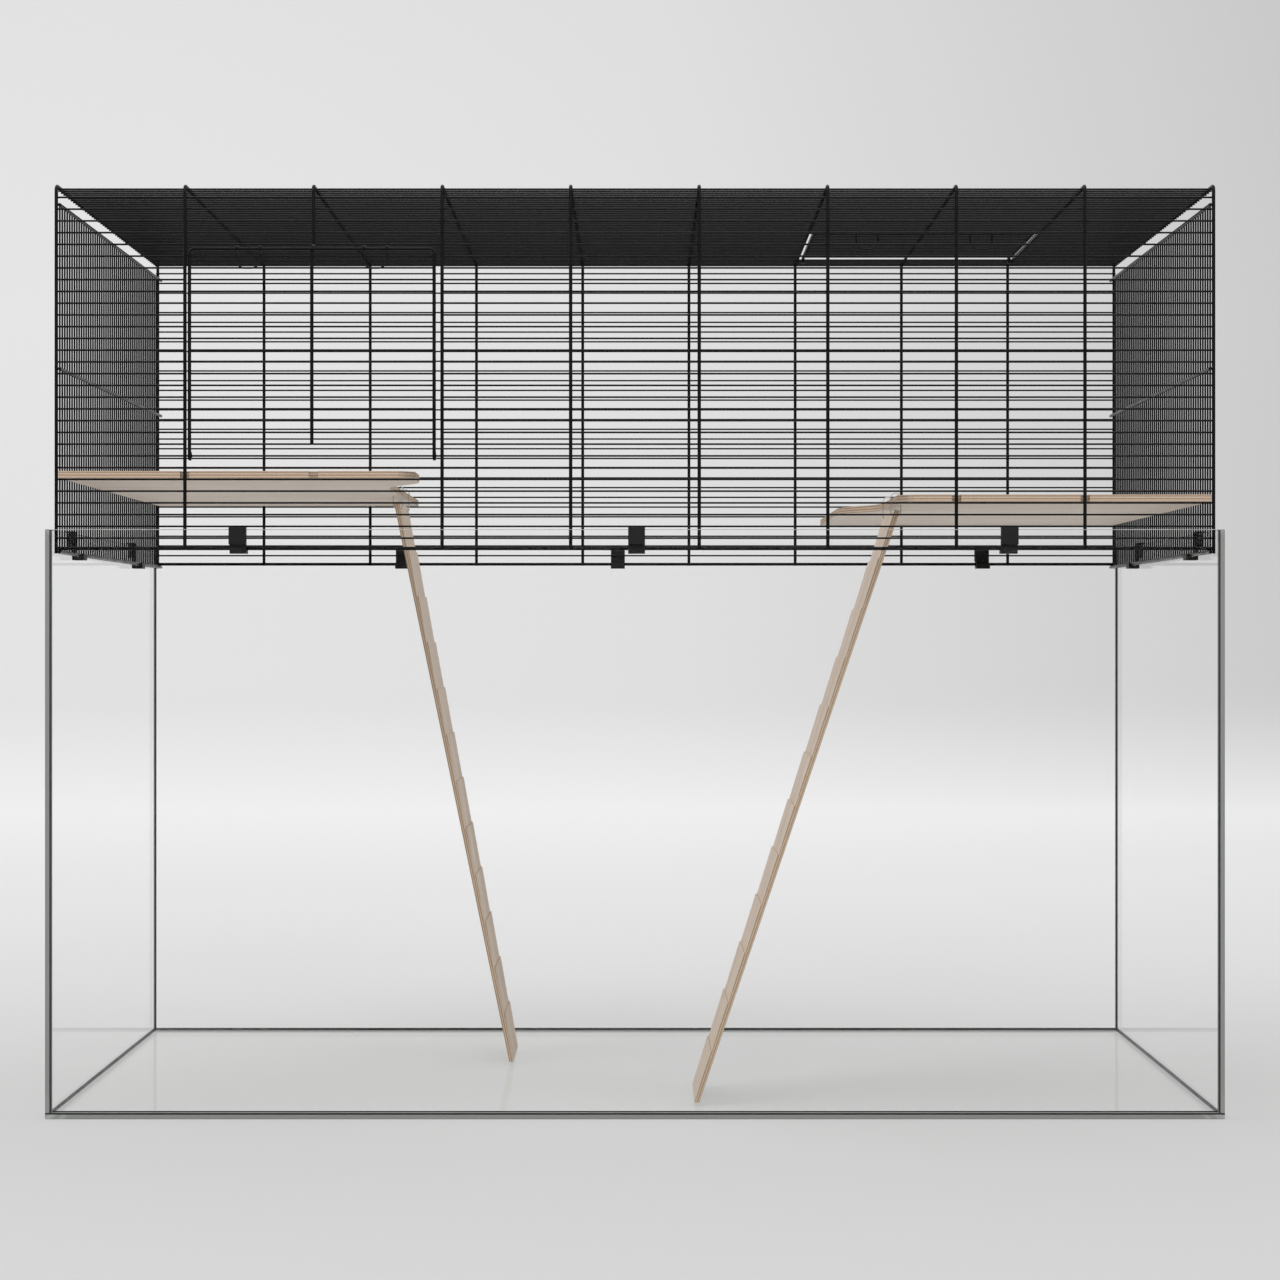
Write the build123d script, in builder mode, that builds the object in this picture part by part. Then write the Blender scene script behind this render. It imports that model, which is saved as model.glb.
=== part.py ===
from build123d import *
import math
import os

# A rodent cage: a clear glass tank with a welded wire top that hangs inside its rim on ten clips.
# The wire top has a door in its front and one in its roof, two plywood shelves, and a ladder
# that hangs from each shelf on two wire links and stands on the glass floor.
# Millimetres, X to the right, Y away from the front, Z up, origin under the middle of the tank.

os.makedirs("parts", exist_ok=True)

# Tank
tank_width = 1000.0
tank_depth = 500.0
tank_height = 500.0
glass = 4.0
glass_edge = 0.5        # ground edge of each pane
seam = 1.0              # silicone between two panes
bead_wide = 1.5         # silicone bead along the inside of each joint
bead_tall = 2.4         # the bead's height over the floor pane

# Wires of the top
thick_wire = 3.0
fine_wire = 1.6
weld = 0.1              # how far two welded wires sink into each other
rim_gap = 2.5           # from the glass to the wires that hang inside it
bay_count = 9           # bays between the thick wires along the width
bar_pitch = 10.0        # fine wires, centre to centre
hang_depth = 16.0       # bottom wire below the rim of the tank
first_row = 8.8         # first fine wire above the bottom wire
roof_over_rim = 292.5   # centre of the thick roof wires above the rim of the tank
roof_bend = 4.5         # bend from the front and back into the roof
bend_stub = 0.5         # straight end of the bent wire, where it meets the upright
roof_first = 5.5        # first fine roof wire behind the front's thick wires
side_first = 10.0       # first fine side wire behind the front's thick wires
side_low_end = 4.4      # the corner wires and side wires end this far below the bottom wire
side_mid_over_rim = 136.7  # thick wire half way up each side, above the rim
side_top_drop = 16.5    # thick wire along the top of each side, below the roof wires
trim = 0.8              # a wire cut at a door ends this far past the wire that carries it

# Doors
door_bays = (1, 6)      # the left edge of the front door and of the roof door, in bays
door_bay_count = 2      # bays that a door covers
door_side_gap = 5.3333  # from the thick wires beside a door to its legs, centre to centre
door_shift = (-1.4, 0.0)
door_first_rows = (1, 2)  # the roof door lacks its first bar, to clear the wire behind its hinge
door_rows = 18          # pitches from the hinge wire to the first whole wire past the door
front_hinge_row = 7
roof_rows_behind = 4    # fine wires behind the roof door's hinge wire
door_top_gap = 4.2      # from the door's free bar to that first whole wire
door_corner = 4.0
eye_radius = 2.6        # the door's leg is rolled into an eye round the hinge wire
eye_turn = 290.0
door_bar_over = 1.0     # the door's fine wires run this far past its legs

# Door latches: a wire bail on the free bar, two to a door
latch_wire = 1.4
latch_spread = 54.0     # from the middle of the door to the middle of a latch
latch_width = 20.7
latch_reach = 16.7
latch_round = 8.0
latch_eye_radius = 2.4
latch_tip_in = 4.3      # the tip stands this far behind the bar
latch_tip_up = 5.0      # and this far above it
latch_tip_bend = 1.5

# Shelves
ply = 6.0
shelf_seat = 0.2        # slack between a shelf and the wires under it
shelf_rows = (5, 3)     # the left shelf rests on row 5, the right one on row 3
shelf_side_gap = 0.3
shelf_poke = 1.0        # the shelf's front edge stands this far past the thick wires' centres
notch_width = 8.0
notch_depth = 5.2
notch_bays = ((1, 2), (7, 8))
shelf_nose_x = (-188.0, 190.0)  # each shelf's inner edge where it reaches furthest in
shelf_curve = ((53.0, 168.0), (148.0, 248.0))  # where the inner edge curves, from the front edge
front_corner = 13.0     # the cut corner next to the ladder, along the front
side_corner = 12.0      # and along the side

# Ladders
ladder_over = 43.5      # a ladder is this much longer than the tank is tall
ladder_width = 99.0
ladder_thick = 5.0
tread_count = 12
tread_step = 1.2
ladder_front = (285.0, 58.0)   # distance from the front of the tank to the ladder's near edge
ladder_edge = (-223.8, 224.0)  # the shelf's edge that each ladder hangs at
ladder_drop = (7.8, 5.4)       # from the underside of the shelf down to the pivot
ladder_top = 0.6               # wood above the pivot
foot_gap = 0.3

# Links that hang the ladders
link_wire = 1.0
link_radius = 4.5
link_hole = 3.2
link_edge_gap = 0.4
link_inset = 13.0       # from the ladder's edge to a link
link_over = 0.3         # the link's top bend starts this far above the shelf

# Rim clips
clip_width = 14.3
clip_wall = 1.6
clip_gap = 0.2
clip_outer_leg = 13.0   # from the rim down the outside
clip_floor = 2.8
clip_lip = 2.0
clip_lip_rise = 1.0
clip_round = 0.4
front_clip_ends = (163.0, 182.2)  # from the ends of the tank to the outer clips in front
back_clip_ends = (260.0, 143.4)   # and at the back
middle_clip_x = (1.4, -18.5)      # the middle clips in front and at the back
side_clip_ends = (97.0, 123.0)    # from the front and the back of the tank, on the sides

# Worked out from the sizes above
half_w = tank_width / 2
half_d = tank_depth / 2
thick_r = thick_wire / 2
fine_r = fine_wire / 2
step_in = thick_r + fine_r - weld
corner_x = half_w - glass - rim_gap - thick_r
corner_y = half_d - glass - rim_gap - thick_r
bay = 2 * corner_x / bay_count
door_width = door_bay_count * bay - 2 * door_side_gap
roof_height = tank_height + roof_over_rim
side_mid = tank_height + side_mid_over_rim
side_top = roof_height - side_top_drop
ladder_length = tank_height + ladder_over
bottom_z = tank_height - hang_depth
row_z = bottom_z + first_row
row_count = 1 + int((roof_height - step_in - row_z) / bar_pitch)
roof_count = 1 + int((2 * corner_y - roof_first - step_in) / bar_pitch)
side_count = 1 + int((2 * corner_y - 2 * side_first) / bar_pitch)
roof_hinge_row = roof_count - 1 - roof_rows_behind
wire_end = corner_x + thick_r
fine_y = corner_y - step_in
low_y = corner_y - thick_wire + weld
roof_fine_z = roof_height - step_in
bend_z = roof_height - roof_bend - bend_stub
side_low_z = bottom_z - thick_wire
side_bar_x = corner_x - thick_wire
side_fine_x = side_bar_x + step_in
low_end_z = bottom_z - side_low_end
door_reach = door_rows * bar_pitch - door_top_gap


def bay_x(n):
    """X of thick wire number n, counted from the left corner."""
    return -corner_x + n * bay


def row(k):
    """Height of fine wire number k, counted from the lowest."""
    return row_z + k * bar_pitch


def roof_y(m):
    """Y of fine roof wire number m, counted from the front."""
    return -corner_y + roof_first + m * bar_pitch


def front_rows_cut(k):
    return front_hinge_row < k < front_hinge_row + door_rows


def roof_rows_cut(m):
    return roof_hinge_row - door_rows < m < roof_hinge_row


# Glass panes: the floor pane lies under the others, the side panes run the full depth
with BuildPart() as floor_pane:
    Box(tank_width, tank_depth, glass, align=(Align.CENTER, Align.CENTER, Align.MIN))
    chamfer(floor_pane.edges(), glass_edge)
floor_pane.part.label = "glass_floor_pane"
export_step(floor_pane.part, "parts/glass_floor_pane.step")

wall_z = glass + seam
wall_height = tank_height - wall_z
for side, sign in (("front", -1), ("back", 1)):
    with BuildPart() as pane:
        with Locations((0, sign * (half_d - glass / 2), wall_z)):
            Box(tank_width - 2 * (glass + seam), glass, wall_height,
                align=(Align.CENTER, Align.CENTER, Align.MIN))
        chamfer(pane.edges(), glass_edge)
    pane.part.label = f"glass_{side}_pane"
    export_step(pane.part, f"parts/glass_{side}_pane.step")

for side, sign in (("left", -1), ("right", 1)):
    with BuildPart() as pane:
        with Locations((sign * (half_w - glass / 2), 0, wall_z)):
            Box(glass, tank_depth, wall_height, align=(Align.CENTER, Align.CENTER, Align.MIN))
        chamfer(pane.edges(), glass_edge)
    pane.part.label = f"glass_{side}_pane"
    export_step(pane.part, f"parts/glass_{side}_pane.step")

# Silicone: a bed under the walls, a strip in each corner, and a bead along the inside
inner_w = tank_width - 2 * glass
inner_d = tank_depth - 2 * glass
bead_lean = math.degrees(math.atan(bead_wide / bead_tall))
with BuildPart() as silicone:
    with BuildSketch(Plane.XY.offset(glass)):
        Rectangle(tank_width, tank_depth)
        Rectangle(inner_w, inner_d, mode=Mode.SUBTRACT)
    extrude(amount=seam)
    with BuildSketch(Plane.XY.offset(wall_z)):
        with GridLocations(tank_width - 2 * glass - seam, tank_depth - glass, 2, 2):
            Rectangle(seam, glass)
    extrude(amount=wall_height - glass_edge)
    with BuildSketch(Plane.XY.offset(glass)):
        Rectangle(inner_w, inner_d)
        Rectangle(inner_w - 2 * bead_wide, inner_d - 2 * bead_wide, mode=Mode.SUBTRACT)
    extrude(amount=bead_tall)
    with BuildSketch(Plane.XY.offset(glass)):
        Rectangle(inner_w - 2 * bead_wide, inner_d - 2 * bead_wide)
    extrude(amount=bead_tall, taper=-bead_lean, mode=Mode.SUBTRACT)
    for sx in (-1, 1):
        for sy in (-1, 1):
            corner = (sx * inner_w / 2, sy * inner_d / 2)
            with BuildSketch(Plane.XY.offset(glass)):
                with BuildLine():
                    Polyline(corner, (corner[0] - sx * bead_wide, corner[1]),
                             (corner[0], corner[1] - sy * bead_wide), close=True)
                make_face()
            extrude(amount=tank_height - glass - glass_edge)
silicone.part.label = "silicone_seams"
export_step(silicone.part, "parts/silicone_seams.step")

# Front and back of the wire top: straight uprights, fine wires across, a bottom wire
for side, sign in (("front", -1), ("back", 1)):
    has_door = side == "front"
    door_n = door_bays[0] + door_bay_count // 2
    uprights = [n for n in range(1, bay_count) if not (has_door and n == door_n)]
    whole_rows = [k for k in range(row_count) if not (has_door and front_rows_cut(k))]
    cut_rows = [k for k in range(row_count) if k not in whole_rows]
    with BuildPart() as thick:
        with BuildSketch(Plane.XY.offset(bottom_z - thick_r)):
            with Locations(*[(bay_x(n), sign * corner_y) for n in uprights]):
                Circle(thick_r)
        extrude(amount=bend_z - bottom_z + thick_r)
        with BuildSketch(Plane.XY.offset(low_end_z)):
            with Locations((-corner_x, sign * corner_y), (corner_x, sign * corner_y)):
                Circle(thick_r)
        extrude(amount=bend_z - low_end_z)
        if has_door:
            stub_z = row(front_hinge_row + door_rows) - trim
            with BuildSketch(Plane.XY.offset(stub_z)):
                with Locations((bay_x(door_n), sign * corner_y)):
                    Circle(thick_r)
            extrude(amount=bend_z - stub_z)
    with BuildPart() as bottom:
        with BuildSketch(Plane.YZ.offset(-wire_end)):
            with Locations((sign * low_y, bottom_z)):
                Circle(thick_r)
        extrude(amount=2 * wire_end)
    with BuildPart() as fine:
        with BuildSketch(Plane.YZ.offset(-wire_end)):
            with Locations(*[(sign * fine_y, row(k)) for k in whole_rows]):
                Circle(fine_r)
        extrude(amount=2 * wire_end)
        if has_door:
            left_end = bay_x(door_bays[0]) + trim
            right_end = bay_x(door_bays[0] + door_bay_count) - trim
            with BuildSketch(Plane.YZ.offset(-wire_end)):
                with Locations(*[(sign * fine_y, row(k)) for k in cut_rows]):
                    Circle(fine_r)
            extrude(amount=wire_end + left_end)
            with BuildSketch(Plane.YZ.offset(right_end)):
                with Locations(*[(sign * fine_y, row(k)) for k in cut_rows]):
                    Circle(fine_r)
            extrude(amount=wire_end - right_end)
    panel = Compound(thick.part.solids() + bottom.part.solids() + fine.part.solids())
    panel.label = f"{side}_panel"
    export_step(panel, f"parts/{side}_panel.step")

# Roof: thick wires that bend down into the front and back, fine wires under them
door_n = door_bays[1] + door_bay_count // 2
with BuildPart() as roof_thick:
    for n in [n for n in range(bay_count + 1) if n != door_n]:
        with BuildLine(Plane.YZ.offset(bay_x(n))) as path:
            FilletPolyline((-corner_y, bend_z), (-corner_y, roof_height),
                           (corner_y, roof_height), (corner_y, bend_z), radius=roof_bend)
        with BuildSketch(Plane(path.line @ 0, z_dir=path.line % 0)):
            Circle(thick_r)
        sweep()
    for sign, end_y in ((-1, roof_y(roof_hinge_row - door_rows) + trim),
                        (1, roof_y(roof_hinge_row) - trim)):
        with BuildLine(Plane.YZ.offset(bay_x(door_n))) as path:
            FilletPolyline((sign * corner_y, bend_z), (sign * corner_y, roof_height),
                           (end_y, roof_height), radius=roof_bend)
        with BuildSketch(Plane(path.line @ 0, z_dir=path.line % 0)):
            Circle(thick_r)
        sweep()
left_end = bay_x(door_bays[1]) + trim
right_end = bay_x(door_bays[1] + door_bay_count) - trim
with BuildPart() as roof_fine:
    with BuildSketch(Plane.YZ.offset(-wire_end)):
        with Locations(*[(roof_y(m), roof_fine_z) for m in range(roof_count)
                         if not roof_rows_cut(m)]):
            Circle(fine_r)
    extrude(amount=2 * wire_end)
    with BuildSketch(Plane.YZ.offset(-wire_end)):
        with Locations(*[(roof_y(m), roof_fine_z) for m in range(roof_count)
                         if roof_rows_cut(m)]):
            Circle(fine_r)
    extrude(amount=wire_end + left_end)
    with BuildSketch(Plane.YZ.offset(right_end)):
        with Locations(*[(roof_y(m), roof_fine_z) for m in range(roof_count)
                         if roof_rows_cut(m)]):
            Circle(fine_r)
    extrude(amount=wire_end - right_end)
roof_panel = Compound(roof_thick.part.solids() + roof_fine.part.solids())
roof_panel.label = "roof_panel"
export_step(roof_panel, "parts/roof_panel.step")

# Sides: three thick wires along the depth, fine uprights outside them
side_fine_low = side_low_z - thick_r
side_fine_high = side_top + thick_r
for side, sign in (("left", -1), ("right", 1)):
    with BuildPart() as thick:
        with BuildSketch(Plane.XZ.offset(-corner_y - thick_r)):
            with Locations(*[(sign * side_bar_x, z) for z in (side_low_z, side_mid, side_top)]):
                Circle(thick_r)
        extrude(amount=2 * (corner_y + thick_r))
    with BuildPart() as fine:
        with BuildSketch(Plane.XY.offset(side_fine_low)):
            with Locations(*[(sign * side_fine_x, -corner_y + side_first + k * bar_pitch)
                             for k in range(side_count)]):
                Circle(fine_r)
        extrude(amount=side_fine_high - side_fine_low)
    panel = Compound(thick.part.solids() + fine.part.solids())
    panel.label = f"{side}_side_panel"
    export_step(panel, f"parts/{side}_side_panel.step")

# Doors: drawn in a plane with its origin on the hinge wire, Y towards the free bar, Z outwards
front_door_x = bay_x(door_bays[0] + door_bay_count / 2) + door_shift[0]
roof_door_x = bay_x(door_bays[1] + door_bay_count / 2) + door_shift[1]
front_plane = Plane((front_door_x, -fine_y, row(front_hinge_row)), x_dir=(1, 0, 0), z_dir=(0, -1, 0))
roof_plane = Plane((roof_door_x, roof_y(roof_hinge_row), roof_fine_z), x_dir=(-1, 0, 0),
                   z_dir=(0, 0, 1))
leg_x = door_width / 2
door_fine_z = eye_radius - thick_r - fine_r
for door, plane, first_bar in (("front_door", front_plane, door_first_rows[0]),
                               ("roof_door", roof_plane, door_first_rows[1])):
    with BuildPart() as frame:
        with BuildLine(Plane.XY.offset(eye_radius)) as path:
            FilletPolyline((-leg_x, 0), (-leg_x, door_reach), (leg_x, door_reach), (leg_x, 0),
                           radius=door_corner)
        with BuildSketch(Plane(path.line @ 0, z_dir=path.line % 0)):
            Circle(thick_r)
        sweep()
        for x in (-leg_x, leg_x):
            with BuildLine(Plane((x, 0, 0), x_dir=(0, 0, 1), z_dir=(1, 0, 0))) as path:
                CenterArc((0, 0), eye_radius, 0, eye_turn)
            with BuildSketch(Plane(path.line @ 0, z_dir=path.line % 0)):
                Circle(thick_r)
            sweep()
    frame.part = frame.part.moved(plane.location)
    frame.part.label = f"{door}_frame"
    export_step(frame.part, f"parts/{door}_frame.step")

    across = Plane(plane.origin, x_dir=plane.y_dir, z_dir=plane.x_dir)
    with BuildPart() as fine:
        with BuildSketch(across.offset(-leg_x - door_bar_over)):
            with Locations(*[(k * bar_pitch, door_fine_z) for k in range(first_bar, door_rows)]):
                Circle(fine_r)
        extrude(amount=door_width + 2 * door_bar_over)
    upright_low = first_bar * bar_pitch - trim
    upright_plane = Plane(plane.from_local_coords((0, upright_low, eye_radius)),
                          x_dir=plane.x_dir, z_dir=plane.y_dir)
    with BuildPart() as upright:
        with BuildSketch(upright_plane):
            Circle(thick_r)
        extrude(amount=door_reach - thick_r - upright_low)
    bars = Compound(upright.part.solids() + fine.part.solids())
    bars.label = f"{door}_bars"
    export_step(bars, f"parts/{door}_bars.step")

# Latches: legs in front of the bar, an eye round it, and a tip that hooks behind the panel.
# The front ones are drawn locked. The roof ones hang straight down from the bar.
leg_half = latch_width / 2
hook_x = leg_half - latch_wire + weld / 2
for door, plane, outward in (("front_door", front_plane, front_plane.z_dir),
                             ("roof_door", roof_plane, -roof_plane.y_dir)):
    for side, shift in (("left", -latch_spread), ("right", latch_spread)):
        centre = plane.from_local_coords((shift * plane.x_dir.X, door_reach, eye_radius))
        base = Plane(centre, x_dir=plane.x_dir, z_dir=outward)
        with BuildPart() as latch:
            with BuildLine(base.offset(latch_eye_radius)) as path:
                FilletPolyline((-leg_half, 0), (-leg_half, -latch_reach),
                               (leg_half, -latch_reach), (leg_half, 0), radius=latch_round)
            with BuildSketch(Plane(path.line @ 0, z_dir=path.line % 0)):
                Circle(latch_wire / 2)
            sweep()
            for sign in (-1, 1):
                eye_plane = Plane(base.from_local_coords((sign * leg_half, 0, 0)),
                                  x_dir=base.z_dir, z_dir=-base.x_dir)
                with BuildLine(eye_plane) as path:
                    CenterArc((0, 0), latch_eye_radius, 0, eye_turn)
                with BuildSketch(Plane(path.line @ 0, z_dir=path.line % 0)):
                    Circle(latch_wire / 2)
                sweep()
                hook_plane = Plane(base.from_local_coords((sign * hook_x, 0, 0)),
                                   x_dir=base.z_dir, z_dir=-base.x_dir)
                with BuildLine(hook_plane) as path:
                    CenterArc((0, 0), latch_eye_radius, 0, 90)
                    FilletPolyline((0, latch_eye_radius), (-latch_tip_in, latch_eye_radius),
                                   (-latch_tip_in, latch_tip_up), radius=latch_tip_bend)
                with BuildSketch(Plane(path.line @ 0, z_dir=path.line % 0)):
                    Circle(latch_wire / 2)
                sweep()
        latch.part.label = f"{door}_latch_{side}"
        export_step(latch.part, f"parts/{door}_latch_{side}.step")

# Shelves: plywood between the wires, notched round the uprights, cut back beside the ladder
shelf_end = side_fine_x - fine_r - shelf_side_gap
shelf_edge = corner_y + shelf_poke
ladder_y = [front - half_d + ladder_width / 2 for front in ladder_front]
link_y = ladder_width / 2 - link_inset
link_x = link_radius - link_wire / 2 - link_edge_gap
shelf_z = [row(k) + fine_r + shelf_seat for k in shelf_rows]
# Each inner edge runs back from the front edge, curves over, and runs on to the back edge
inner_x = ((shelf_nose_x[0], ladder_edge[0]), (ladder_edge[1], shelf_nose_x[1]))
for index, (side, sign) in enumerate((("left", -1), ("right", 1))):
    x0, x1 = inner_x[index]
    y0, y1 = [at - shelf_edge for at in shelf_curve[index]]
    mid = (y0 + y1) / 2
    pivot_x = ladder_edge[index] + sign * link_x
    with BuildPart() as shelf:
        with BuildSketch(Plane.XY.offset(shelf_z[index])):
            with BuildLine():
                Polyline((x1, y1), (x1, shelf_edge), (sign * shelf_end, shelf_edge),
                         (sign * shelf_end, -shelf_edge), (x0 + sign * front_corner, -shelf_edge),
                         (x0, -shelf_edge + side_corner), (x0, y0))
                Bezier((x0, y0), (x0, mid), (x1, mid), (x1, y1))
            make_face()
            with Locations(*[(bay_x(n), sy * shelf_edge) for n in notch_bays[index]
                             for sy in (-1, 1)]):
                Rectangle(notch_width, 2 * notch_depth, mode=Mode.SUBTRACT)
            hole_x = pivot_x + sign * link_radius
            with Locations((hole_x, ladder_y[index] - link_y), (hole_x, ladder_y[index] + link_y)):
                Circle(link_hole / 2, mode=Mode.SUBTRACT)
        extrude(amount=ply)
    shelf.part.label = f"{side}_shelf"
    export_step(shelf.part, f"parts/{side}_shelf.step")

# Ladders and their links. Each ladder is drawn from its pivot down, its treads towards Y
pitch = ladder_length / tread_count
floor_z = glass + foot_gap
half_t = ladder_thick / 2
for index, (side, sign) in enumerate((("left", -1), ("right", 1))):
    pivot = Vector(ladder_edge[index] + sign * link_x, ladder_y[index],
                   shelf_z[index] - ladder_drop[index])
    rise = pivot.Z - floor_z
    lean = math.acos(rise / (ladder_length - ladder_top))
    down = Vector(-sign * math.sin(lean), 0, -math.cos(lean))
    foot = [(rise + t * math.sin(lean)) / math.cos(lean) for t in (-half_t, half_t - tread_step)]
    points = [(-ladder_top, -half_t), (foot[0], -half_t), (foot[1], half_t - tread_step)]
    for k in range(1, tread_count):
        at = ladder_length - ladder_top - k * pitch
        points += [(at, half_t), (at, half_t - tread_step)]
    points += [(-ladder_top, half_t)]
    plane = Plane(pivot, x_dir=down, z_dir=(0, sign, 0))
    with BuildPart() as ladder:
        with BuildSketch(plane):
            with BuildLine():
                Polyline(*points, close=True)
            make_face()
        extrude(amount=ladder_width / 2, both=True)
        with BuildSketch(Plane(pivot + down * link_radius, x_dir=(0, 1, 0), z_dir=plane.y_dir)):
            with Locations((-link_y, 0), (link_y, 0)):
                Circle(link_hole / 2)
        extrude(amount=ladder_thick, both=True, mode=Mode.SUBTRACT)
    ladder.part.label = f"{side}_ladder"
    export_step(ladder.part, f"parts/{side}_ladder.step")

    link_top = shelf_z[index] + ply + link_over - pivot.Z
    with BuildPart() as links:
        for y in (-link_y, link_y):
            link_plane = Plane(pivot + Vector(0, y, 0), x_dir=(1, 0, 0), z_dir=(0, -1, 0))
            with BuildLine(link_plane) as path:
                CenterArc((0, 0), link_radius, 180, 180)
                Line((link_radius, 0), (link_radius, link_top))
                CenterArc((0, link_top), link_radius, 0, 180)
                Line((-link_radius, link_top), (-link_radius, 0))
            with BuildSketch(Plane(path.line @ 0, z_dir=path.line % 0)):
                Circle(link_wire / 2)
            sweep()
    links.part.label = f"{side}_ladder_links"
    export_step(links.part, f"parts/{side}_ladder_links.step")

# Rim clips: over the rim, down the inside of the glass and under the bottom wire.
# Each is drawn with X pointing inwards from the outer face of the glass
clip_in = glass + clip_gap + clip_wall
clip_top = tank_height + clip_gap
front_clips = (("left", -half_w + front_clip_ends[0]), ("middle", middle_clip_x[0]),
               ("right", half_w - front_clip_ends[1]))
back_clips = (("left", -half_w + back_clip_ends[0]), ("middle", middle_clip_x[1]),
              ("right", half_w - back_clip_ends[1]))
side_clips = (("front", -half_d + side_clip_ends[0]), ("rear", half_d - side_clip_ends[1]))
clips = [(f"front_clip_{n}", (x, -half_d), (0, 1, 0), bottom_z) for n, x in front_clips]
clips += [(f"back_clip_{n}", (x, half_d), (0, -1, 0), bottom_z) for n, x in back_clips]
clips += [(f"left_clip_{n}", (-half_w, y), (1, 0, 0), side_low_z) for n, y in side_clips]
clips += [(f"right_clip_{n}", (half_w, y), (-1, 0, 0), side_low_z) for n, y in side_clips]
for name, place, inward, wire_z in clips:
    seat_z = wire_z - thick_r - clip_gap
    lip_x = half_w - side_bar_x + thick_r + clip_gap
    outline = [(-clip_gap - clip_wall, tank_height - clip_outer_leg),
               (-clip_gap - clip_wall, clip_top + clip_wall),
               (clip_in, clip_top + clip_wall), (clip_in, seat_z), (lip_x, seat_z),
               (lip_x, wire_z + clip_lip_rise), (lip_x + clip_lip, wire_z + clip_lip_rise),
               (lip_x + clip_lip, seat_z - clip_floor), (clip_in - clip_wall, seat_z - clip_floor),
               (clip_in - clip_wall, clip_top), (-clip_gap, clip_top),
               (-clip_gap, tank_height - clip_outer_leg)]
    along = Vector(*inward).cross(Vector(0, 0, 1))
    with BuildPart() as clip:
        with BuildSketch(Plane((place[0], place[1], 0), x_dir=inward, z_dir=along)) as profile:
            with BuildLine():
                Polyline(*outline, close=True)
            make_face()
            fillet(profile.vertices(), clip_round)
        extrude(amount=clip_width / 2, both=True)
    clip.part.label = name
    export_step(clip.part, f"parts/{name}.step")
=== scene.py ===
# %% [markdown]
# # A rodent cage: glass tank, wire top, plywood shelves
#
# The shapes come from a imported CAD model, so this script adds the looks: the camera, the studio,
# and one node material for each real material. Everything is in metres, with the floor at z = 0
# and the front of the tank facing -Y. The wires could be built again here as curves, but the CAD
# wires already have their real form and place, so each piece is kept and only gets its finish.

# %%
import math

import bpy
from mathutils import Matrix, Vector


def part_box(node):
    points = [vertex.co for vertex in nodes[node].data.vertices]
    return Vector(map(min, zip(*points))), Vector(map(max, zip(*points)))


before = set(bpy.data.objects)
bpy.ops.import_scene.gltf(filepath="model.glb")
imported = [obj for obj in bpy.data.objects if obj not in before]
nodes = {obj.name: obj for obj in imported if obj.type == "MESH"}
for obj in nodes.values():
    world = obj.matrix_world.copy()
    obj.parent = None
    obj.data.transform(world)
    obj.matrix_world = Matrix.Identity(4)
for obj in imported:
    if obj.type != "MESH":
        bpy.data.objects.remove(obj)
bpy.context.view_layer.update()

# %% [markdown]
# ## Small helpers
#
# Colours are easier to read as hex, but shader sockets want linear light, so linear() converts them.
# add() makes one node, sets it up and links it, which keeps every material below short. A value that
# is itself a socket is linked, and any other value is typed into the socket. paint() gives a material
# to CAD nodes through their slots and leaves their meshes alone. A texture's scale counts repeats in
# a metre, so repeats() works it out from a size in millimetres that could be measured on the cage.

# %%
COLOUR_A, COLOUR_B, COLOUR_OUT = 6, 7, 2  # where a Mix node keeps its two colours and its result
NOISE_LOW, NOISE_HIGH = 0.3, 0.7  # nearly all of a noise texture lies between these


def linear(hex_colour):
    """The linear RGBA of an sRGB hex colour such as "#d8d8d8"."""
    channels = [int(hex_colour[i : i + 2], 16) / 255 for i in (1, 3, 5)]
    low_end = [c / 12.92 for c in channels]
    high_end = [((c + 0.055) / 1.055) ** 2.4 for c in channels]
    return [a if c <= 0.04045 else b for c, a, b in zip(channels, low_end, high_end)] + [1.0]


def repeats(size_mm):
    """How many times something of this size in millimetres fits into a metre."""
    return 1000 / size_mm


def add(tree, kind, inputs=None, stops=(), **settings):
    """One new shader node with its settings, its inputs linked or typed in, and its ramp stops."""
    node = tree.nodes.new("ShaderNode" + kind)
    for name, value in settings.items():
        setattr(node, name, value)
    for name, value in (inputs or {}).items():
        if isinstance(value, bpy.types.NodeSocket):
            tree.links.new(value, node.inputs[name])
        else:
            node.inputs[name].default_value = value
    for spare in stops[2:]:
        node.color_ramp.elements.new(1.0)
    for number, (place, colour) in enumerate(stops):
        node.color_ramp.elements[number].position = place
        node.color_ramp.elements[number].color = colour
    return node


def new_material(name):
    """An empty node material and its node tree."""
    material = bpy.data.materials.new(name)
    material.use_nodes = True
    material.node_tree.nodes.clear()
    return material, material.node_tree


def paint(material, names):
    """Puts a material in every slot of these CAD nodes."""
    for name in names:
        for slot in nodes[name].material_slots:
            slot.material = material
    print(material.name, "on", len(names), "nodes")


print("middle grey #808080 is", round(linear("#808080")[0], 3), "in linear light")

# %% [markdown]
# ## The camera
#
# The photograph was taken level, from just below the rim of the tank. A camera could be turned by
# eye until the picture looks right, but the near and far wires would then slide past each other.
# Its place and lens were solved from the tank's front and back edges instead, so both rows line up.

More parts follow.
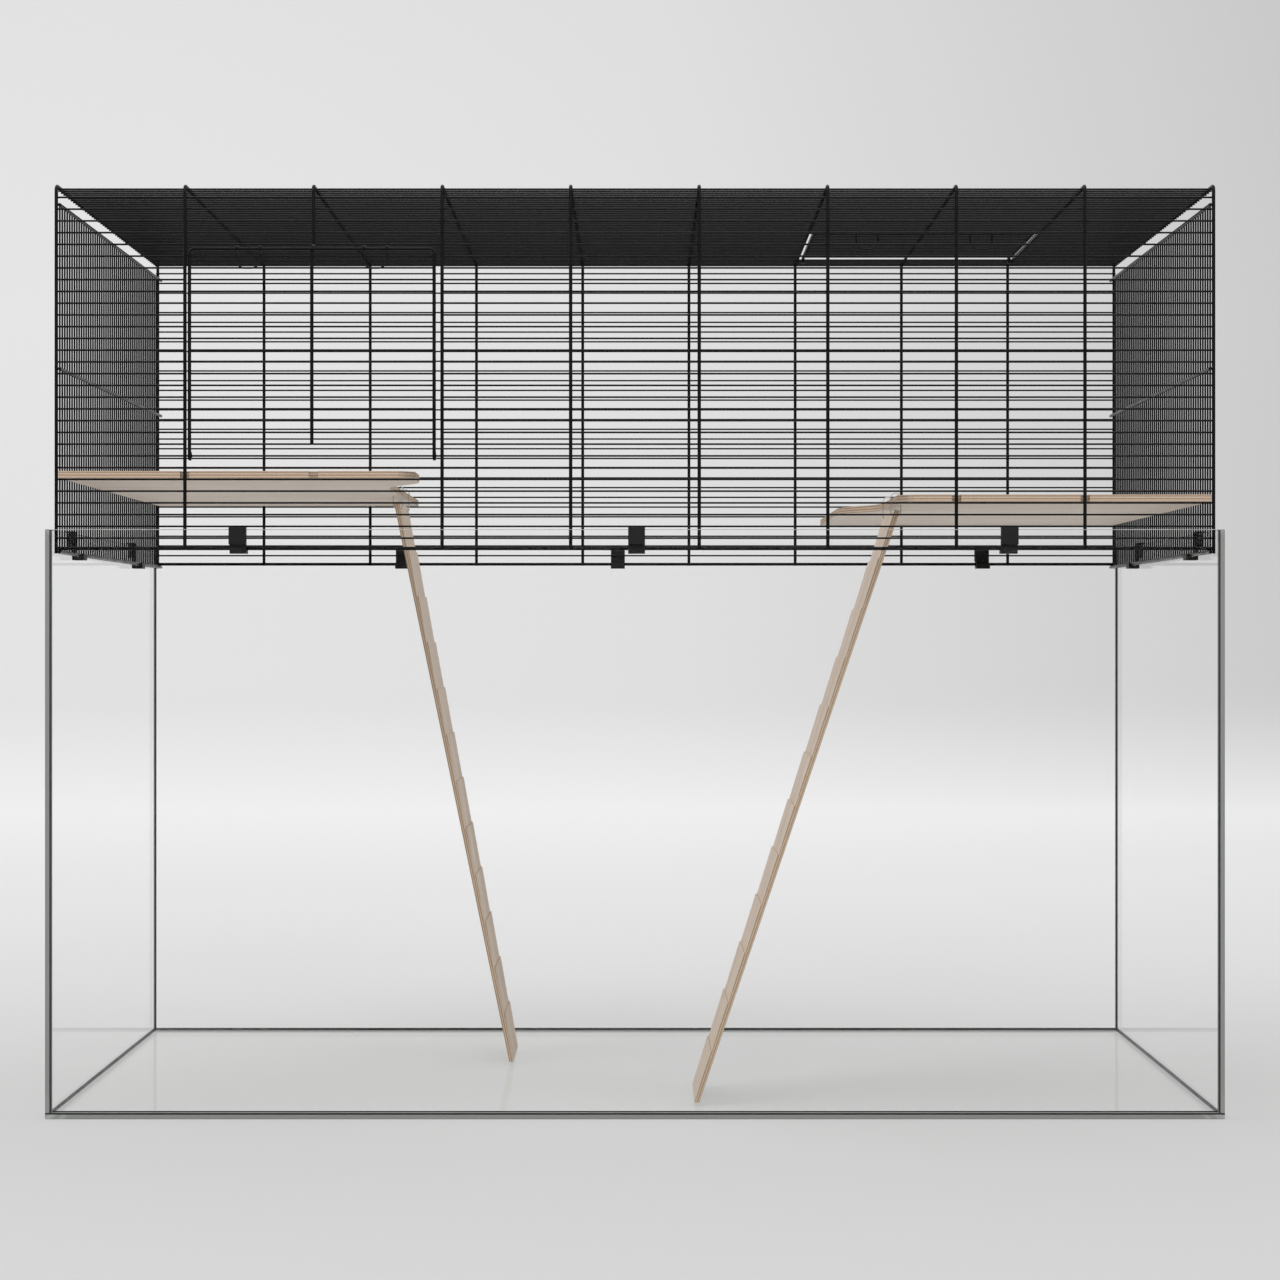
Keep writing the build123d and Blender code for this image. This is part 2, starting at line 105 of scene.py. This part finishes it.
# %%
camera_place = (0.0043, -2.5415, 0.4061)
camera_lens, camera_sensor = 76.06, 36.0
camera_data = bpy.data.cameras.new("photo camera")
camera_data.lens = camera_lens
camera_data.sensor_width = camera_sensor
camera_data.sensor_fit = "HORIZONTAL"
camera = bpy.data.objects.new("photo camera", camera_data)
camera.location = camera_place
camera.rotation_euler = (math.radians(90), 0, 0)
bpy.context.scene.collection.objects.link(camera)
bpy.context.scene.camera = camera
print("camera at", camera_place, "with a lens of", camera_lens, "mm")

# %% [markdown]
# ## The studio sweep
#
# A product studio has one sheet that runs flat under the object and curves up behind it. A plane
# and a wall would show a line where they meet, so the sheet is one strip swept along a profile:
# floor, quarter circle, wall. Two rows of corners near the cage keep the floor's shading level, and
# the sheet lies just under the tank, so that glass and paper never share one plane.

# %%
floor_z = -0.0004
floor_front, floor_back = -6.0, 3.0
level_rows = (-1.0, 1.0)
cove_radius, cove_steps = 1.2, 24
wall_top, half_width = 6.0, 7.0
profile = [(along, floor_z) for along in (floor_front, *level_rows)]
for step in range(cove_steps + 1):
    angle = math.radians(90 * step / cove_steps)
    along = floor_back + cove_radius * math.sin(angle)
    profile.append((along, floor_z + cove_radius * (1 - math.cos(angle))))
profile.append((floor_back + cove_radius, wall_top))

corners = [(x, y, z) for y, z in profile for x in (-half_width, half_width)]
strips = [(2 * i, 2 * i + 1, 2 * i + 3, 2 * i + 2) for i in range(len(profile) - 1)]
sweep_mesh = bpy.data.meshes.new("studio sweep")
sweep_mesh.from_pydata(corners, [], strips)
sweep_mesh.shade_smooth()
sweep = bpy.data.objects.new("studio_sweep", sweep_mesh)
bpy.context.scene.collection.objects.link(sweep)
print("sweep from y", floor_front, "to", floor_back + cove_radius, "with", len(strips), "strips")

# %% [markdown]
# ## How bright the sheet is
#
# The photograph's background is brightest where the floor turns into the wall, and the wall falls
# off to the right. More lamps could paint that, but they would light the cage too. So a colour ramp
# along the sheet paints that pool of light as painted light, and a second ramp across the wall paints
# the falloff from left to right. Part of the sheet glows, which is painted light where there is no
# lamp, and part of it is matt paper, so the cage still leaves its soft shadow on the floor.

# %%
paper_share = 0.4  # how much of the tone comes from light on the paper, where shadows can show
studio_light = 0.9  # brightness of white paper lying in this studio
ramp_start, ramp_end = -1.0, 5.2  # metres along the sheet
tones = [(-1.0, "#cacaca"), (-0.25, "#c8c8c8"), (0.5, "#d4d4d4"), (1.0, "#dbdbdb")]
tones += [(1.7, "#e4e4e4"), (2.45, "#ededed"), (3.35, "#f7f7f7"), (3.73, "#eeeeee")]
tones += [(4.0, "#e6e6e6"), (5.2, "#e6e6e6")]
left_gain, right_gain, gain_reach = 1.06, 0.83, 1.6  # gains at this many metres left and right
gain_start, gain_full, gain_on_floor = 3.3, 4.1, 0.1  # where the wall takes on the side gains


def grey(level):
    """A linear RGBA grey."""
    return (level, level, level, 1)


paper, tree = new_material("studio paper")
place = add(tree, "SeparateXYZ", {0: add(tree, "TexCoord").outputs["Object"]})
along_sheet = add(tree, "Math", {0: place.outputs["Y"], 1: place.outputs["Z"]}, operation="ADD")
position = add(
    tree,
    "MapRange",
    {"Value": along_sheet.outputs[0], "From Min": ramp_start, "From Max": ramp_end},
)
ramp_length = ramp_end - ramp_start
tone_stops = [((at - ramp_start) / ramp_length, linear(colour)) for at, colour in tones]
tone = add(tree, "ValToRGB", {"Fac": position.outputs["Result"]}, stops=tone_stops)

across = add(
    tree,
    "MapRange",
    {"Value": place.outputs["X"], "From Min": -gain_reach, "From Max": gain_reach},
)
# painted light: these side gains paint the backdrop's falloff from a brighter left to a darker right
side_falloff_stops = [(0, grey(left_gain)), (0.5, grey(1)), (1, grey(right_gain))]
side_light_falloff = add(tree, "ValToRGB", {"Fac": across.outputs["Result"]}, stops=side_falloff_stops)
up_wall = add(
    tree,
    "MapRange",
    {
        "Value": along_sheet.outputs[0],
        "From Min": gain_start,
        "From Max": gain_full,
        "To Min": gain_on_floor,
    },
)
# painted light: the tone ramp times the side gains paints the sheet's pool of light and its falloff;
# both the glow and the matt colour below carry it
painted_light_tone = add(
    tree,
    "Mix",
    {
        0: up_wall.outputs["Result"],
        COLOUR_A: tone.outputs["Color"],
        COLOUR_B: side_light_falloff.outputs["Color"],
    },
    data_type="RGBA",
    blend_type="MULTIPLY",
)
# painted light: this part of the sheet glows with the painted tone though it is no lamp
glow = add(tree, "Emission", {"Color": painted_light_tone.outputs[COLOUR_OUT], "Strength": 1 - paper_share})
matt_tone = add(
    tree,
    "Mix",
    {0: 1.0, COLOUR_A: painted_light_tone.outputs[COLOUR_OUT], COLOUR_B: grey(paper_share / studio_light)},
    data_type="RGBA",
    blend_type="MULTIPLY",
)
matt = add(tree, "BsdfDiffuse", {"Color": matt_tone.outputs[COLOUR_OUT]})
both = add(tree, "AddShader", {0: glow.outputs[0], 1: matt.outputs[0]})
add(tree, "OutputMaterial", {"Surface": both.outputs[0]})
sweep_mesh.materials.append(paper)
print("paper tones:", [colour for at, colour in tones])

# %% [markdown]
# ## The light
#
# Small lamps would draw hard shadows of every wire, so four large soft ones do the work, the left
# one stronger than the right.

# %%
lamps = {
    "left softbox": ((-2.6, -1.4, 3.0), 2.8, 80.0),
    "right softbox": ((2.8, -1.6, 2.8), 2.6, 45.0),
    "overhead softbox": ((0.0, 0.4, 3.6), 3.6, 80.0),
    "front softbox": ((0.4, -4.4, 2.7), 2.4, 75.0),
}
aim = Vector((0, 0, 0.4))
for name, (lamp_place, size, watts) in lamps.items():
    lamp_data = bpy.data.lights.new(name, "AREA")
    lamp_data.shape = "SQUARE"
    lamp_data.size = size
    lamp_data.energy = watts
    lamp = bpy.data.objects.new(name, lamp_data)
    lamp.location = lamp_place
    lamp.rotation_euler = (aim - lamp.location).to_track_quat("-Z", "Y").to_euler()
    bpy.context.scene.collection.objects.link(lamp)
bpy.context.scene.view_settings.view_transform = "Standard"
print("lamps:", ", ".join(lamps))

# %% [markdown]
# ## The room
#
# A bright world would be the easy way to a pale background, but it would also light the black wires
# grey from all sides. So the room gives hardly any light of its own, and only what is seen,
# mirrored or looked at through glass past the end of the sheet is pale.

# %%
room_light, room_seen = 0.1, 0.82
world = bpy.data.worlds.new("studio room")
bpy.context.scene.world = world
world.use_nodes = True
tree = world.node_tree
path = add(tree, "LightPath")
seen = add(
    tree,
    "Math",
    {0: path.outputs["Is Camera Ray"], 1: path.outputs["Is Transmission Ray"]},
    operation="MAXIMUM",
)
seen_or_mirrored = add(
    tree,
    "Math",
    {0: seen.outputs[0], 1: path.outputs["Is Glossy Ray"]},
    operation="MAXIMUM",
)
room = add(
    tree,
    "MapRange",
    {"Value": seen_or_mirrored.outputs[0], "To Min": room_light, "To Max": room_seen},
)
background = tree.nodes["Background"]
background.inputs["Color"].default_value = linear("#f4f5f6")
tree.links.new(room.outputs["Result"], background.inputs["Strength"])
print("the room lights at", room_light, "and shows at", room_seen)

# %% [markdown]
# ## Float glass
#
# The tank is float glass, 4 mm thick, and a plain see-through shader would hide it. Real panes do
# three things. Their faces are smooth and bend light. Their cut edges are ground, so they scatter
# light and blur what is behind them; the grit is drawn as coarse as it needs to show. And they
# swallow a little light on the way, hardly any through 4 mm but most of it through half a metre,
# which is why a pane looks dark from its edge. The photograph's panes mirror very little, so the
# IOR is set below the 1.52 of real float glass, most of all on the floor pane, which is seen at a
# low angle. Lamps reach what is inside the tank through a clear shader that only shadow and diffuse
# rays meet.

# %%
upright_ior, lying_ior = 1.07, 1.02
ground_share = 0.5  # how much of a ground edge scatters light instead of passing it
grit_mm = 1.11
face_limit = 0.98  # a face looks along its pane's axis at least this closely


def float_glass(name, face_axis, ior):
    """Glass for a pane whose large faces look along face_axis, with ground edges."""
    material, tree = new_material(name)
    coords = add(tree, "TexCoord")
    facing = add(
        tree,
        "VectorMath",
        {0: coords.outputs["Normal"], 1: face_axis},
        operation="DOT_PRODUCT",
    )
    flat = add(tree, "Math", {0: facing.outputs["Value"]}, operation="ABSOLUTE")
    on_edge = add(tree, "Math", {0: flat.outputs[0], 1: face_limit}, operation="LESS_THAN")
    grit = add(
        tree,
        "TexNoise",
        {"Vector": coords.outputs["Object"], "Scale": repeats(grit_mm), "Detail": 3.0},
    )
    ground = add(
        tree,
        "MapRange",
        {
            "Value": grit.outputs["Fac"],
            "From Min": NOISE_LOW,
            "From Max": NOISE_HIGH,
            "To Min": 0.04,
            "To Max": 0.12,
        },
    )
    rough = add(
        tree,
        "Math",
        {0: ground.outputs["Result"], 1: on_edge.outputs[0]},
        operation="MULTIPLY",
    )
    passing = add(
        tree,
        "MapRange",
        {"Value": on_edge.outputs[0], "To Min": 1.0, "To Max": 1 - ground_share},
    )
    tint_stops = [(0.0, linear("#ffffff")), (1.0, linear("#c6c8c5"))]
    tint = add(tree, "ValToRGB", {"Fac": on_edge.outputs[0]}, stops=tint_stops)
    clear = add(
        tree,
        "BsdfPrincipled",
        {
            "Base Color": tint.outputs["Color"],
            "Roughness": rough.outputs[0],
            "IOR": ior,
            "Transmission Weight": passing.outputs["Result"],
        },
    )
    path = add(tree, "LightPath")
    soft_ray = add(
        tree,
        "Math",
        {0: path.outputs["Is Shadow Ray"], 1: path.outputs["Is Diffuse Ray"]},
        operation="MAXIMUM",
    )
    see_through = add(tree, "BsdfTransparent", {"Color": linear("#fcfdfc")})
    surface = add(
        tree,
        "MixShader",
        {0: soft_ray.outputs[0], 1: clear.outputs[0], 2: see_through.outputs[0]},
    )
    inside = add(tree, "VolumeAbsorption", {"Color": (0.73, 0.75, 0.73, 1), "Density": 2.6})
    add(tree, "OutputMaterial", {"Surface": surface.outputs[0], "Volume": inside.outputs[0]})
    return material


panes = {
    "float glass, lying": ((0, 0, 1), lying_ior, ["glass_floor_pane"]),
    "float glass, front and back": ((0, 1, 0), upright_ior, ["glass_front_pane", "glass_back_pane"]),
    "float glass, sides": ((1, 0, 0), upright_ior, ["glass_left_pane", "glass_right_pane"]),
}
for name, (face_axis, ior, pane_names) in panes.items():
    paint(float_glass(name, face_axis, ior), pane_names)

# %% [markdown]
# ## Silicone
#
# The black sealant in the tank's joints was smoothed with a finger. Its seams are only millimetres
# wide, so the finger marks aren't modelled: a bump with slow waves about a centimetre long and a
# satin shine that follows them is enough.

# %%
wave_mm = 9.1
silicone, tree = new_material("black silicone sealant")
coords = add(tree, "TexCoord").outputs["Object"]
waves = add(tree, "TexNoise", {"Vector": coords, "Scale": repeats(wave_mm), "Detail": 2.0})
dimple = add(tree, "Bump", {"Height": waves.outputs["Fac"], "Strength": 0.35, "Distance": 0.0004})
shine = add(
    tree,
    "MapRange",
    {
        "Value": waves.outputs["Fac"],
        "From Min": NOISE_LOW,
        "From Max": NOISE_HIGH,
        "To Min": 0.28,
        "To Max": 0.42,
    },
)
rubber = add(
    tree,
    "BsdfPrincipled",
    {
        "Base Color": linear("#101211"),
        "Roughness": shine.outputs["Result"],
        "Normal": dimple.outputs["Normal"],
    },
)
add(tree, "OutputMaterial", {"Surface": rubber.outputs[0]})
paint(silicone, ["silicone_seams"])

# %% [markdown]
# ## Powder coated wire
#
# The steel wire is coated black. Baked powder flows into a skin with an orange peel of about a
# millimetre, which a bump gives, and it pulls thin in places, so its colour and shine change slowly
# along each wire. A metal shader would mirror the pale room. The coating is a plastic, and the
# photograph's wires stay black even at a low angle, so its specular level is low.

# %%
peel_mm, flow_mm = 1.05, 28.6
coat, tree = new_material("black powder coat on wire")
coords = add(tree, "TexCoord").outputs["Object"]
peel = add(
    tree,
    "TexNoise",
    {"Vector": coords, "Scale": repeats(peel_mm), "Detail": 2.0, "Roughness": 0.4},
)
flow = add(tree, "TexNoise", {"Vector": coords, "Scale": repeats(flow_mm), "Detail": 3.0})
skin = add(tree, "Bump", {"Height": peel.outputs["Fac"], "Strength": 0.2, "Distance": 0.00005})
shine = add(
    tree,
    "MapRange",
    {
        "Value": flow.outputs["Fac"],
        "From Min": NOISE_LOW,
        "From Max": NOISE_HIGH,
        "To Min": 0.22,
        "To Max": 0.34,
    },
)
black_stops = [(0.35, linear("#050505")), (0.65, linear("#0a0a0b"))]
black = add(tree, "ValToRGB", {"Fac": flow.outputs["Fac"]}, stops=black_stops)
powder = add(
    tree,
    "BsdfPrincipled",
    {
        "Base Color": black.outputs["Color"],
        "Roughness": shine.outputs["Result"],
        "Specular IOR Level": 0.1,
        "Normal": skin.outputs["Normal"],
    },
)
add(tree, "OutputMaterial", {"Surface": powder.outputs[0]})
wire_names = [n for n in nodes if n.endswith(("_panel", "_door_frame", "_door_bars")) or "_latch_" in n]
paint(coat, wire_names)

# %% [markdown]
# ## Plywood
#
# Bare plywood shows two patterns. Its faces have long fibres about two millimetres wide inside
# wider, paler and darker bands. Its cut edges show the plies as thin lines, every second one end
# grain and therefore darker. One stretched noise over the whole board would run the face's grain
# round the edge, so the two patterns are made apart and the surface's direction chooses between
# them. They are laid out in the board's own directions, so for a leaning ladder the coordinates are
# turned to run along the ladder.

# %%
fibre_mm = (71.4, 2.38, 2.38)  # along the grain, across it and through the board
band_mm = (333.0, 26.3, 26.3)
fleck_mm = (1.11, 1.11, 0.667)
face_share = 0.7  # a surface whose normal points less than this along the board's z is a cut edge


def plywood(name, board_corner, turn, ply_thickness, pale, streak, edge_pale, edge_dark):
    """Plywood whose grain runs along the board's own x axis and whose plies stack along its z."""
    material, tree = new_material(name)
    coords = add(tree, "TexCoord")
    board = add(
        tree,
        "Mapping",
        {"Vector": coords.outputs["Object"], "Location": board_corner, "Rotation": (0, turn, 0)},
        vector_type="TEXTURE",
    )
    normal = add(
        tree,
        "Mapping",
        {"Vector": coords.outputs["Normal"], "Rotation": (0, turn, 0)},
        vector_type="TEXTURE",
    )

    fibre_scale, band_scale, fleck_scale = (
        [repeats(size) for size in sizes] for sizes in (fibre_mm, band_mm, fleck_mm)
    )
    fibre_place = add(tree, "Mapping", {"Vector": board.outputs[0], "Scale": fibre_scale})
    fibres = add(tree, "TexNoise", {"Vector": fibre_place.outputs[0], "Scale": 1.0, "Detail": 5.0})
    band_place = add(tree, "Mapping", {"Vector": board.outputs[0], "Scale": band_scale})
    bands = add(
        tree,
        "TexNoise",
        {"Vector": band_place.outputs[0], "Scale": 1.0, "Detail": 3.0, "Distortion": 0.6},
    )
    figure = add(tree, "Math", {0: fibres.outputs["Fac"], 1: bands.outputs["Fac"]}, operation="ADD")
    half_figure = add(tree, "Math", {0: figure.outputs[0], 1: 0.5}, operation="MULTIPLY")
    face_stops = [(0.36, linear(streak)), (0.62, linear(pale))]
    face_colour = add(tree, "ValToRGB", {"Fac": half_figure.outputs[0]}, stops=face_stops)

    depth = add(tree, "SeparateXYZ", {0: board.outputs[0]}).outputs["Z"]
    ply_number = add(tree, "Math", {0: depth, 1: ply_thickness}, operation="DIVIDE")
    ply_wave = add(tree, "Math", {0: ply_number.outputs[0], 1: 1.0}, operation="PINGPONG")
    fleck_place = add(tree, "Mapping", {"Vector": board.outputs[0], "Scale": fleck_scale})
    flecks = add(tree, "TexNoise", {"Vector": fleck_place.outputs[0], "Scale": 1.0, "Detail": 2.0})
    ply_mix = add(tree, "Math", {0: flecks.outputs["Fac"], 1: -0.5}, operation="ADD")
    ply_tone = add(tree, "Math", {0: ply_wave.outputs[0], 1: ply_mix.outputs[0]}, operation="ADD")
    edge_stops = [(0.25, linear(edge_dark)), (0.7, linear(edge_pale))]
    edge_colour = add(tree, "ValToRGB", {"Fac": ply_tone.outputs[0]}, stops=edge_stops)

    upward = add(tree, "SeparateXYZ", {0: normal.outputs[0]}).outputs["Z"]
    flatness = add(tree, "Math", {0: upward}, operation="ABSOLUTE")
    on_face = add(tree, "Math", {0: flatness.outputs[0], 1: face_share}, operation="GREATER_THAN")
    colour = add(
        tree,
        "Mix",
        {
            0: on_face.outputs[0],
            COLOUR_A: edge_colour.outputs["Color"],
            COLOUR_B: face_colour.outputs["Color"],
        },
        data_type="RGBA",
    )
    relief = add(tree, "Math", {0: fibres.outputs["Fac"], 1: flecks.outputs["Fac"]}, operation="ADD")
    pores = add(tree, "Bump", {"Height": relief.outputs[0], "Strength": 0.5, "Distance": 0.00012})
    rough = add(
        tree,
        "MapRange",
        {
            "Value": fibres.outputs["Fac"],
            "From Min": NOISE_LOW,
            "From Max": NOISE_HIGH,
            "To Min": 0.78,
            "To Max": 0.6,
        },
    )
    wood = add(
        tree,
        "BsdfPrincipled",
        {
            "Base Color": colour.outputs[COLOUR_OUT],
            "Roughness": rough.outputs["Result"],
            "Specular IOR Level": 0.3,
            "Normal": pores.outputs["Normal"],
        },
    )
    add(tree, "OutputMaterial", {"Surface": wood.outputs[0]})
    return material


# %% [markdown]
# The shelves lie level, with the grain along the cage's long side. Their six millimetre board has
# plies a little over a millimetre thick. One material could serve both, but each shelf gets its own,
# with the plies counted from its own lowest corner.

# %%
shelf_ply = 0.0012
for shelf in ("left_shelf", "right_shelf"):
    board_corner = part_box(shelf)[0]
    material = plywood(
        "plywood, " + shelf.replace("_", " "),
        board_corner,
        0.0,
        shelf_ply,
        pale="#e0d3c9",
        streak="#cfbfb2",
        edge_pale="#c9b4a0",
        edge_dark="#a18872",
    )
    paint(material, [shelf])

# %% [markdown]
# The ladders are cut from the same kind of board, five millimetres thick. Each hangs from its shelf
# and leans inward, so its own x axis points down along it, and the lean is the ladder's angle from
# upright. Their wood reads a little darker in the photograph than the shelves do.

# %%
ladder_ply = 0.001
ladder_lean = {"left_ladder": math.radians(11.66), "right_ladder": math.radians(-18.75)}
for ladder, lean in ladder_lean.items():
    material = plywood(
        "plywood, " + ladder.replace("_", " "),
        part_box(ladder)[0],
        math.pi / 2 - lean,
        ladder_ply,
        pale="#d9cabc",
        streak="#c6b2a0",
        edge_pale="#cbb5a1",
        edge_dark="#a1866d",
    )
    paint(material, [ladder])

# %% [markdown]
# ## Rim clips
#
# The rim clips are moulded black plastic. The mould was spark eroded, which leaves a fine even
# grain of a few tenths of a millimetre. It could be a displacement, but it is far too fine to
# change the outline, so a bump gives the satin look, and a slow noise adds the rubbed places.

# %%
spark_mm, rubbed_mm = 0.385, 6.25
plastic, tree = new_material("moulded black plastic")
coords = add(tree, "TexCoord").outputs["Object"]
spark = add(tree, "TexNoise", {"Vector": coords, "Scale": repeats(spark_mm), "Detail": 2.0})
rubbed = add(tree, "TexNoise", {"Vector": coords, "Scale": repeats(rubbed_mm), "Detail": 3.0})
grain = add(tree, "Bump", {"Height": spark.outputs["Fac"], "Strength": 0.4, "Distance": 0.00004})
shine = add(
    tree,
    "MapRange",
    {
        "Value": rubbed.outputs["Fac"],
        "From Min": NOISE_LOW,
        "From Max": NOISE_HIGH,
        "To Min": 0.38,
        "To Max": 0.55,
    },
)
shade_stops = [(0.3, linear("#0c0c0c")), (0.7, linear("#131313"))]
shade = add(tree, "ValToRGB", {"Fac": rubbed.outputs["Fac"]}, stops=shade_stops)
moulded = add(
    tree,
    "BsdfPrincipled",
    {
        "Base Color": shade.outputs["Color"],
        "Roughness": shine.outputs["Result"],
        "Specular IOR Level": 0.18,
        "Normal": grain.outputs["Normal"],
    },
)
add(tree, "OutputMaterial", {"Surface": moulded.outputs[0]})
paint(plastic, [n for n in nodes if "_clip_" in n])

# %% [markdown]
# ## Ladder links
#
# The links that carry the ladders are plain drawn steel wire. Drawing leaves fine, close scratches,
# so one noise drives both the roughness and a very shallow bump. It is metallic, with the default
# IOR, and mirrors the pale room.

# %%
scratch_mm = 0.556
steel, tree = new_material("drawn steel wire")
coords = add(tree, "TexCoord").outputs["Object"]
drawn = add(tree, "TexNoise", {"Vector": coords, "Scale": repeats(scratch_mm), "Detail": 4.0})
shine = add(
    tree,
    "MapRange",
    {
        "Value": drawn.outputs["Fac"],
        "From Min": NOISE_LOW,
        "From Max": NOISE_HIGH,
        "To Min": 0.22,
        "To Max": 0.42,
    },
)
scratches = add(tree, "Bump", {"Height": drawn.outputs["Fac"], "Strength": 0.2, "Distance": 0.00002})
metal = add(
    tree,
    "BsdfPrincipled",
    {
        "Base Color": linear("#b4b3b0"),
        "Metallic": 1.0,
        "Roughness": shine.outputs["Result"],
        "Normal": scratches.outputs["Normal"],
    },
)
add(tree, "OutputMaterial", {"Surface": metal.outputs[0]})
paint(steel, ["left_ladder_links", "right_ladder_links"])
